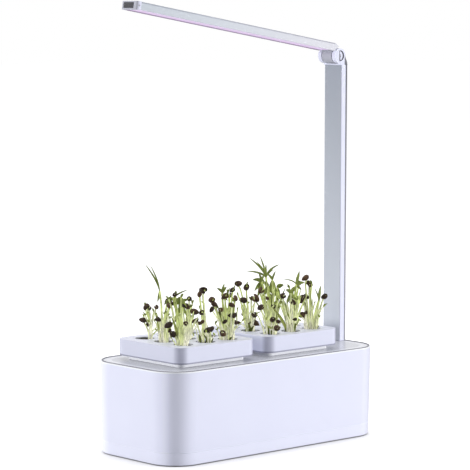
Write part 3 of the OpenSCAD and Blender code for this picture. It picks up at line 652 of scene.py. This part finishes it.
def sponges(side):
    """Nine plugs with crumbly tops and uneven walls."""
    rng = random.Random(SPONGE_SEED[side])
    verts, faces = [], []
    for i in (-1, 0, 1):
        for j in (-1, 0, 1):
            cx, cy = TRAY_X[side] + i * HOLE_PITCH, j * HOLE_PITCH
            start = len(verts)
            shift = Vector((rng.uniform(0, 50), rng.uniform(0, 50), rng.uniform(0, 50)))
            for r, z in SPONGE_PATH:
                for k in range(SPONGE_SEG):
                    a = 2 * math.pi * k / SPONGE_SEG
                    p = Vector((r * math.cos(a), r * math.sin(a), z))
                    rough = (noise.noise(p * 0.9 + shift) * 0.5
                             + noise.noise(p * 2.4 + shift) * 0.25)
                    # the top is low and crumbly, the walls a little uneven
                    dip = -0.35 + 0.5 * rough if z > 103.8 else 0.0
                    rr = max(0.0, r + (0.18 * rough - 0.1 if 92 < z < 104.2 else 0.0))
                    verts.append((cx + rr * math.cos(a), cy + rr * math.sin(a), z + dip))
            for m in range(len(SPONGE_PATH) - 1):
                for k in range(SPONGE_SEG):
                    n = (k + 1) % SPONGE_SEG
                    a, b = start + m * SPONGE_SEG, start + (m + 1) * SPONGE_SEG
                    faces.append((a + k, a + n, b + n, b + k))
    ob = piece("plugs_" + side, verts, faces, [M["sponge"]], side + "_tray", ["sponges_" + side])


for side in SIDES:
    sponges(side)


# ---- Sprouts --------------------------------------------------------------------

# materials of the plants, and kinds of sprout
STEM, LEAF, HULL, SHADE = range(4)
SEED, LARGE_SEED, SHOOT, BROAD = range(4)

# column and row of the hole, foot and tip along LAT, tip height above the tray, and
# kind: 0 a seed hull, 1 a large hull, 2 a bare shoot, 3 broad leaves, 4 narrow blades
SPROUTS = {
    "left": (
        (0, 2, 5, 2, 30, 0), (0, 2, 5, 4, 27, 0), (0, 2, 4, -2, 17, 0), (0, 2, 5, 4, 12, 0),
        (0, 2, 5, 11, 29, 0),
        (0, 1, -2, -5, 20, 0), (0, 1, -1, 3, 36, 0), (0, 1, 0, 5, 33, 0), (0, 1, 3, 4, 15, 1),
        (0, 1, -1, -4, 46, 4), (0, 1, 3, 10, 20, 0),
        (0, 0, -2, -2, 38, 3), (0, 0, -5, -9, 9, 1), (0, 0, 1, 2, 20, 0), (0, 0, -4, -9, 42, 4),
        (0, 0, -3, -8, 45, 0), (0, 0, -1, -2, 43, 3),
        (1, 0, 2, 2, 10, 1), (1, 0, 4, 5, 12, 0), (1, 0, -2, -4, 26, 0), (1, 0, -4, -10, 18, 0),
        (2, 0, -4, -4, 5, 1), (2, 0, -5, -15, 36, 1), (2, 0, -5, -12, 32, 0), (2, 0, -4, -6, 27, 0),
        (2, 0, -4, -7, 20, 0), (2, 0, 2, 3, 22, 0), (2, 0, 4, 6, 22, 0), (2, 0, -3, -5, 42, 3),
        (2, 0, -1, -3, 39, 0), (2, 0, 0, 2, 40, 0), (2, 0, 2, 4, 45, 0), (2, 0, 3, 4, 32, 0),
        (1, 1, 1, 3, 36, 0), (1, 1, 0, 1, 29, 0), (1, 1, 3, 8, 25, 1),
        (2, 1, -4, -8, 38, 0), (2, 1, -3, -5, 43, 1),
        (1, 2, 0, 2, 24, 2), (2, 2, 0, 3, 26, 2)),
    "right": (
        (0, 1, -3, -11, 44, 0), (0, 1, -2, -4, 40, 0), (0, 1, -2, -7, 29, 0), (0, 1, 1, 5, 30, 1),
        (0, 1, 2, 4, 15, 0), (0, 1, 3, 5, 7, 0), (0, 1, -3, -6, 15, 0),
        (0, 2, 2, 4, 28, 0), (0, 2, 0, -3, 33, 2),
        (0, 0, -3, -9, 24, 0), (0, 0, 1, 2, 13, 0), (0, 0, -3, -5, 10, 2), (0, 0, 3, 5, 12, 2),
        (0, 0, 5, 6, 6, 0),
        (1, 1, -1, -5, 48, 4), (1, 1, -4, -9, 44, 3), (1, 1, 2, 1, 46, 4), (1, 1, 0, -3, 40, 3),
        (1, 1, -4, -10, 36, 0), (1, 1, 1, 1, 20, 0), (1, 1, 4, 6, 38, 3),
        (1, 0, 0, 0, 36, 3), (1, 0, -3, -8, 33, 0), (1, 0, 1, 2, 27, 0), (1, 0, 2, 5, 44, 3),
        (1, 0, 4, 6, 5, 2),
        (2, 0, -4, -10, 13, 0), (2, 0, -4, -9, 28, 1), (2, 0, -3, -5, 29, 0), (2, 0, -3, -6, 48, 0),
        (2, 0, 1, -1, 41, 0), (2, 0, 5, 12, 30, 0), (2, 0, 4, 7, 27, 3),
        (2, 1, 2, 7, 40, 0), (2, 2, 0, -3, 30, 2)),
}


def dsin(degrees):
    return math.sin(math.radians(degrees))


def hole(side, column, row, z):
    """Point in the axis of a planting hole."""
    return Vector((TRAY_X[side] + (column - 1) * HOLE_PITCH, (row - 1) * HOLE_PITCH, z))


# height of a stem's foot, how far it goes on down into the sponge, and its taper
STEM_FOOT, ROOT, TAPER = SPONGE_TOP + 1.8, 2.6, 0.28


def stem_point(side, s, k, t):
    """Point of a sprout's stem, t running from 0 at its foot to 1 at its tip."""
    column, row, foot, tip, height, _ = s
    # the depth, which the photograph doesn't give, follows from the sprout's number
    foot_d = 3 * dsin(77 * k)
    tip_d = foot_d + 4 * dsin(131 * k + 40)
    rise = STEM_FOOT + t * (TRAY_TOP + height - STEM_FOOT)
    bent = t ** 1.6
    along = foot + (tip - foot) * bent
    back = foot_d + (tip_d - foot_d) * bent
    return Vector((TRAY_X[side] + (column - 1) * HOLE_PITCH + along * LAT[0] + back * DEEP[0],
                   (row - 1) * HOLE_PITCH + along * LAT[1] + back * DEEP[1], rise))


# steps along a hull and round each half of it; steps along a leaf and from its rib to its side
HULL_LONG, HULL_ROUND = 10, 8
LEAF_LONG, LEAF_HALF = 14, 3
# half width and half height of a hull to its length, and a leaf's thickness
HULL_WIDE, HULL_HIGH, LEAF_THICK = 0.31, 0.27, 0.22


class Growth:
    """Collects the stems, hulls and leaves of one tray."""

    def __init__(self):
        self.verts, self.faces, self.mats, self.tints = [], [], [], []

    def grid(self, rows, mat, tint):
        """Closed skin round rows of equal length; tint is one value or one for each place."""
        start, n = len(self.verts), len(rows[0])
        for row in rows:
            self.verts += [tuple(p) for p in row]
        self.tints += (tint if isinstance(tint, list) else [tint] * n) * len(rows)
        for m in range(len(rows) - 1):
            for k in range(n):
                j = (k + 1) % n
                a, b = start + m * n, start + (m + 1) * n
                self.faces.append((a + k, a + j, b + j, b + k))
                self.mats.append(mat)
        last = start + (len(rows) - 1) * n
        self.faces += [tuple(start + k for k in reversed(range(n))),
                       tuple(last + k for k in range(n))]
        self.mats += [mat, mat]

    def shell(self, outer, inner, mat, tint, inner_tint):
        """Closed thin shell between two sheets that meet along their sides."""
        loops = [list(a) + list(reversed(b[1:-1])) for a, b in zip(outer, inner)]
        self.grid(loops, mat, [tint] * len(outer[0]) + [inner_tint] * (len(inner[0]) - 2))

    def tube(self, points, radii, mat, tint, seg=8):
        rows = []
        side = Vector((1, 0, 0))
        for i, p in enumerate(points):
            ahead = (points[min(i + 1, len(points) - 1)] - points[max(i - 1, 0)]).normalized()
            side = (side - ahead * side.dot(ahead)).normalized()
            other = ahead.cross(side)
            rows.append([p + (side * math.cos(a) + other * math.sin(a)) * radii[i]
                         for a in (2 * math.pi * k / seg for k in range(seg))])
        self.grid(rows, mat, tint)

    def hull(self, centre, along, size, rng, tint):
        """Split seed hull: two ribbed half shells that gape a little towards the stem."""
        along = along.normalized()
        side = along.cross(Vector((0, 0, 1)))
        side = (side if side.length > 0.1 else along.cross(Vector((1, 0, 0)))).normalized()
        side = side * math.cos(rng.uniform(0, 3)) + along.cross(side) * math.sin(rng.uniform(0, 3))
        side = (side - along * side.dot(along)).normalized()
        up = along.cross(side)
        gape = rng.uniform(0.06, 0.20)
        for half in (1, -1):
            rows = []
            for i in range(HULL_LONG + 1):
                u = i / HULL_LONG
                wide = math.sin(math.pi * u ** 0.82) ** 0.62 if 0 < u < 1 else 0.02
                spread = gape * size * (1 - u) ** 1.5
                row = []
                for k in range(HULL_ROUND + 1):
                    a = math.pi * k / HULL_ROUND
                    rib = 1 + 0.045 * math.sin(a * 9 + tint * 6)
                    w = HULL_WIDE * size * wide * rib
                    h = HULL_HIGH * size * wide * rib
                    row.append(centre + along * ((u - 0.5) * size) + side * (w * math.cos(a))
                               + up * half * (h * math.sin(a) + spread))
                rows.append(row)
            inner = [[row[0] * (1 - k / HULL_ROUND) + row[-1] * (k / HULL_ROUND)
                      + up * (half * 0.1 * math.sin(math.pi * k / HULL_ROUND))
                      for k in range(HULL_ROUND + 1)] for row in rows]
            self.shell(rows, inner, HULL, tint, min(1.0, tint + 0.4))

    def leaf(self, base, shape, tint, turn=0.0, depth=0.0, mat=LEAF):
        """Folded leaf from base; shape is its reach along LAT, its rise, half width and arch."""
        out, up, width, arch = shape
        facing = DEEP_V * math.cos(turn) + LAT_V * math.sin(turn)
        long = math.hypot(out, up)
        mids = []
        for i in range(LEAF_LONG + 1):
            u = i / LEAF_LONG
            mids.append(base + (LAT_V * out + DEEP_V * depth) * u ** 1.5
                        + Vector((0, 0, up * u + arch * long * (u - u * u))))
        sheets = []
        for thick in (LEAF_THICK, 0.0):
            rows = []
            for i, mid in enumerate(mids):
                u = i / LEAF_LONG
                run = (mids[min(i + 1, LEAF_LONG)] - mids[max(i - 1, 0)]).normalized()
                across = run.cross(facing).normalized()
                normal = across.cross(run).normalized()
                swell = math.sin(math.pi * min(0.08 + 0.92 * u, 1.0)) ** 0.75
                half = 0.05 if i == LEAF_LONG else width * swell * (1 - 0.25 * u) + 0.1
                row = []
                for k in range(-LEAF_HALF, LEAF_HALF + 1):
                    v = k / LEAF_HALF
                    lift = 0.32 * half * abs(v) ** 1.4 + 0.05 * half * math.sin(u * 21) * abs(v)
                    row.append(mid + across * (half * v) + normal * (lift + thick * (1 - v * v)))
                rows.append(row)
            sheets.append(rows)
        self.shell(*sheets, mat, tint, tint)


# reach along LAT, rise, half width and arch of the leaves at the tips of these sprouts
LEAVES = {
    ("left", 14): ((13, 8, 0.8, 0.05), (-9, -6, 1.8, 0.5), (6, -4, 1.5, 0.6), (3, -14, 1.6, 0.2)),
    ("left", 16): ((-7, -7, 1.9, 0.6), (5, -9, 1.9, 0.4), (2, 4, 1.2, 0.2), (-2, -13, 1.9, 0.2)),
    ("left", 11): ((-9, -3, 1.8, 0.5), (-4, -14, 2.0, 0.2), (5, -12, 1.8, 0.3), (7, 3, 1.6, 0.3)),
    ("left", 9): ((-13.5, 25, 0.8, 0.0), (-8.5, 24, 0.8, 0.0), (-2, -10, 1.2, 0.2)),
    ("left", 28): ((-5, 5, 1.6, 0.2), (4, 6, 1.6, 0.2), (2, 9, 1.2, 0.0), (5, -7, 1.6, 0.3)),
    ("right", 14): ((-16, 19, 1.0, 0.05), (-6, 21, 0.9, 0.05), (-9, 15, 0.9, 0.1),
                    (-19, 6, 1.0, 0.3),
                    (13, 13, 1.0, 0.35), (0, 13, 1.1, 0.0), (7, 8, 1.0, 0.2)),
    ("right", 15): ((-9, 2, 2.0, 0.5), (-7, -9, 2.3, 0.5), (3, 8, 1.2, 0.1), (-3, 9, 1.2, 0.1),
                    (-4, -14, 2.2, 0.2)),
    ("right", 16): ((4, -11, 2.1, 0.3), (-5, 6, 1.4, 0.1), (3, 9, 1.0, 0.1), (-3, -13, 2.0, 0.2)),
    ("right", 17): ((6, -9, 2.1, 0.4), (-6, 4, 2.0, 0.3), (-5, -10, 2.2, 0.3)),
    ("right", 20): ((6, 3, 2.3, 0.3), (-3, -8, 2.1, 0.3), (2, -11, 2.0, 0.3)),
    ("right", 21): ((-5, 4, 2.1, 0.4), (5, 7, 2.0, 0.3), (3, -5, 2.2, 0.4), (-4, -10, 2.2, 0.3)),
    ("right", 24): ((3, 13, 1.7, 0.0), (-12, 5, 0.6, 0.45), (8, 2, 2.0, 0.4), (5, -5, 1.6, 0.4)),
    ("right", 32): ((1.5, 15, 1.5, 0.0), (-4, 12, 0.8, 0.0)),
}

# the right tray's hulls are somewhat larger
HULL_SCALE = {"left": 0.93, "right": 1.13}

# leafy holes: number of blades, and the ranges of their reach along LAT and of their rise
BLADES = {
    ("left", 0, 0): (8, -10, 9, 22, 36),
    ("left", 0, 1): (4, -6, 7, 16, 30),
    ("left", 2, 0): (5, -8, 6, 20, 38),
    ("right", 1, 0): (12, -15, 12, 22, 42),
    ("right", 1, 1): (9, -14, 12, 26, 44),
    ("right", 2, 0): (5, -7, 7, 20, 34),
    ("right", 0, 1): (3, -7, 5, 14, 30),
}

# holes with small leaves low down, coloured dark as painted shade
DARK_HOLES = {"left": ((1, 0), (2, 0)), "right": ((0, 0), (0, 1), (1, 0), (2, 0))}
DARK_LEAVES = 6

# a young shoot starts at most FILL_R from its hole's middle, and ROOTED below the sponge's top
FILL_R, ROOTED = 6.2, 0.8


def blades(grow, side, rng):
    """Narrow leaves that fan out from the leafy holes."""
    for (where, column, row), (count, left, right, low, high) in BLADES.items():
        if where != side:
            continue
        centre = hole(side, column, row, SPONGE_TOP - ROOTED)
        for i in range(count):
            share = (i + 0.5) / count
            foot = centre + LAT_V * (8.5 * share - 4.25) + DEEP_V * rng.uniform(-3.5, 3.5)
            out = left + (right - left) * share + rng.uniform(-2.5, 2.5)
            grow.leaf(foot, (out, rng.uniform(low, high), rng.uniform(0.9, 1.6), 0.05),
                      rng.random(), rng.uniform(-0.5, 0.5), rng.uniform(-4, 4),
                      STEM if i % 4 else LEAF)


def filling(grow, side, rng):
    """Pale young shoots beside the taller stems of each planted hole."""
    steps = [i / 8 for i in range(9)]
    for k, s in enumerate(SPROUTS[side]):
        for _ in range(1 if rng.random() < 0.5 else 2):
            start, end = stem_point(side, s, k, 0.0), stem_point(side, s, k, 1.0)
            centre = hole(side, s[0], s[1], 0)
            foot = (start - centre + LAT_V * rng.uniform(-2.4, 2.4)
                    + DEEP_V * rng.uniform(-2.4, 2.4))
            flat = Vector((foot.x, foot.y, 0))
            if flat.length > FILL_R:
                foot -= flat * (1 - FILL_R / flat.length)
            foot = centre + Vector((foot.x, foot.y, SPONGE_TOP - ROOTED))
            high = rng.uniform(0.45, 0.95) * max(end.z - foot.z, 12)
            over = (end - start) * 0.6
            over = (Vector((over.x, over.y, 0)) + LAT_V * rng.uniform(-6.5, 6.5)
                    + DEEP_V * rng.uniform(-3, 3))
            sway = LAT_V * rng.uniform(-1.8, 1.8)
            points = [foot + Vector((0, 0, high * t)) + over * t ** 1.8
                      + sway * math.sin(math.pi * t * 1.5) for t in steps]
            thick = STEM_R * rng.uniform(0.55, 0.95)
            grow.tube(points, [thick * (1 - 0.35 * t) for t in steps], STEM, rng.random(), seg=7)
            if rng.random() < 0.2:
                along = Vector((rng.uniform(-1, 1), rng.uniform(-1, 1), rng.uniform(-0.9, 0.1)))
                grow.hull(points[-1], along, SEED_L * rng.uniform(0.65, 0.9), rng, rng.random())
                continue
            for _ in range(rng.randint(1, 2)):
                grow.leaf(points[-1] - Vector((0, 0, 0.4)),
                          (rng.uniform(-4, 4), rng.uniform(1.5, 4), 0.9, 0.3),
                          rng.random(), rng.uniform(-0.9, 0.9), rng.uniform(-2, 2))


def shade_undergrowth(grow, side):
    """Small leaves low in some of the planted holes, coloured dark as painted shade among the
    stems.
    """
    rng = random.Random(DARK_SEED[side])
    for column, row in DARK_HOLES[side]:
        centre = hole(side, column, row, SPONGE_TOP - 0.5)
        for _ in range(DARK_LEAVES):
            foot = centre + LAT_V * rng.uniform(-5, 5) + DEEP_V * rng.uniform(-5, 3)
            grow.leaf(foot, (rng.uniform(-3.5, 3.5), rng.uniform(3, 9), rng.uniform(0.9, 1.6), 0.4),
                      rng.random(), rng.uniform(-0.8, 0.8), rng.uniform(-2, 2), SHADE)


def seedlings(grow, side, rng):
    """The sprouts of the table, each with its hull or its leaves."""
    steps = [i / 9 for i in range(10)]
    for k, s in enumerate(SPROUTS[side]):
        height, kind = s[4:]
        tint = rng.random()
        tip = stem_point(side, s, k, 1.0)
        thick = STEM_R * (1.15 if kind >= BROAD else 0.88)
        sway = Vector((rng.uniform(-1, 1), rng.uniform(-1, 1), 0)) * (0.012 * (height + 4))
        points = [stem_point(side, s, k, 0.0) - Vector((0, 0, ROOT))]
        points += [stem_point(side, s, k, t) + sway * math.sin(2 * math.pi * t) for t in steps]
        radii = [thick * 1.05] + [thick * (1 - TAPER * t) for t in steps]
        if kind in (SEED, LARGE_SEED):
            large = 1.3 if kind == LARGE_SEED else rng.uniform(0.88, 1.08)
            size = SEED_L * HULL_SCALE[side] * large
            turn, dip = math.radians(61 * k), math.radians(35 * dsin(97 * k))
            along = Vector((math.cos(dip) * math.cos(turn), math.cos(dip) * math.sin(turn),
                            -math.sin(dip)))
            if along.z > 0.2:
                along = -along
            # the stem hooks over into the mouth of the hull
            points[-1] = tip + Vector((0, 0, 0.6)) - along * size * 0.30
            grow.tube(points, radii, STEM, tint)
            grow.hull(tip, along, size, rng, rng.random())
            if rng.random() < 0.2:
                grow.leaf(tip - along * size * 0.35, (rng.uniform(-3, 3), 0.5 * size, 1.1, 0.2),
                          rng.random(), rng.uniform(-0.9, 0.9))
            continue
        grow.tube(points, radii, STEM, tint)
        if kind == SHOOT:
            for out in (rng.uniform(-3, -1), rng.uniform(1, 3)):
                grow.leaf(tip, (out, rng.uniform(3.5, 5.5), 0.9, 0.2), rng.random(),
                          rng.uniform(-0.8, 0.8))
        for shape in LEAVES.get((side, k), ()):
            grow.leaf(tip - Vector((0, 0, 0.5)), shape, rng.random(), rng.uniform(-0.6, 0.6),
                      rng.uniform(-3, 3))


def sprouts(side):
    grow = Growth()
    rng = random.Random(PLANT_SEED[side])
    seedlings(grow, side, rng)
    blades(grow, side, rng)
    filling(grow, side, rng)
    shade_undergrowth(grow, side)
    piece("plants_" + side, grow.verts, grow.faces,
          [M["stem"], M["leaf"], M["hull"], M["shade"]], side + "_tray", ["sprouts_" + side],
          smooth=60.0, face_mats=grow.mats, tints=grow.tints)


for side in SIDES:
    sprouts(side)


camera()
studio()
floor()
